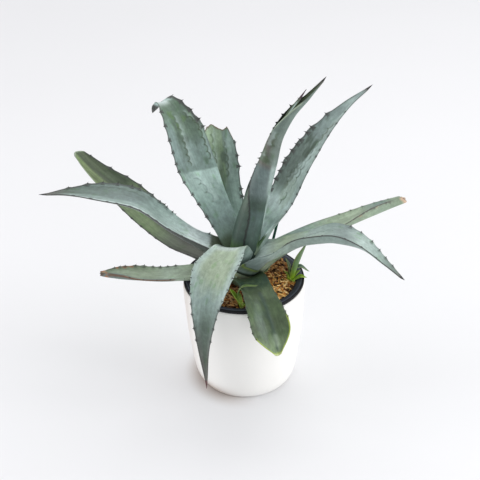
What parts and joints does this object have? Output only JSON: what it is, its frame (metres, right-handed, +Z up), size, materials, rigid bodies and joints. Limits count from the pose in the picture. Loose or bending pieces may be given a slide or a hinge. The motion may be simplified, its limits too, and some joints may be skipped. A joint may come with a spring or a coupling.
{
  "type": "potted century plant",
  "caption": "Rosette of thick, toothed, spine-tipped blue-green leaves round a rolled bud, in a black nursery pot that hangs by its lip in a round white pot.",
  "frame": {"origin": "centre of the white pot's underside, on the pots' axis", "axes": "+Z up along the pots' axis; -Y is the front of the plant, the side that the picture was taken from; +X is the picture's right"},
  "size_m": [0.5636, 0.3243, 0.4798],
  "materials": {
    "bloom_leaf": "waxy matte blue-green bloom",
    "green_leaf": "waxy satin olive green",
    "bud_leaf": "waxy matte dark blue-green",
    "pup_leaf": "fresh satin yellow-green",
    "stem": "pale green, matte",
    "white_ceramic": "smooth cream-white satin glaze",
    "black_plastic": "black moulded plastic",
    "bark_mix": "tan and brown bark chips, rough",
    "stake_green": "dark green satin"
  },
  "bodies": {
    "root": {"bud_inner_leaf": "bud_leaf", "bud_outer_leaf": "bloom_leaf", "leaf_right_tall": "bloom_leaf", "leaf_left_tall": "bloom_leaf", "leaf_left_arching": "bloom_leaf", "leaf_front_drooping": "bloom_leaf", "leaf_right_arching": "bloom_leaf", "leaf_right_straight": "bloom_leaf", "leaf_back_cut": "bloom_leaf", "leaf_left_blunt": "green_leaf", "leaf_left_low": "bloom_leaf", "leaf_front_cut": "green_leaf", "stem": "stem", "pup_right": "pup_leaf", "pup_front": "pup_leaf", "white_pot": "white_ceramic", "nursery_pot": "black_plastic", "potting_mix": "bark_mix", "plant_stake": "stake_green"}
  },
  "joints": []
}
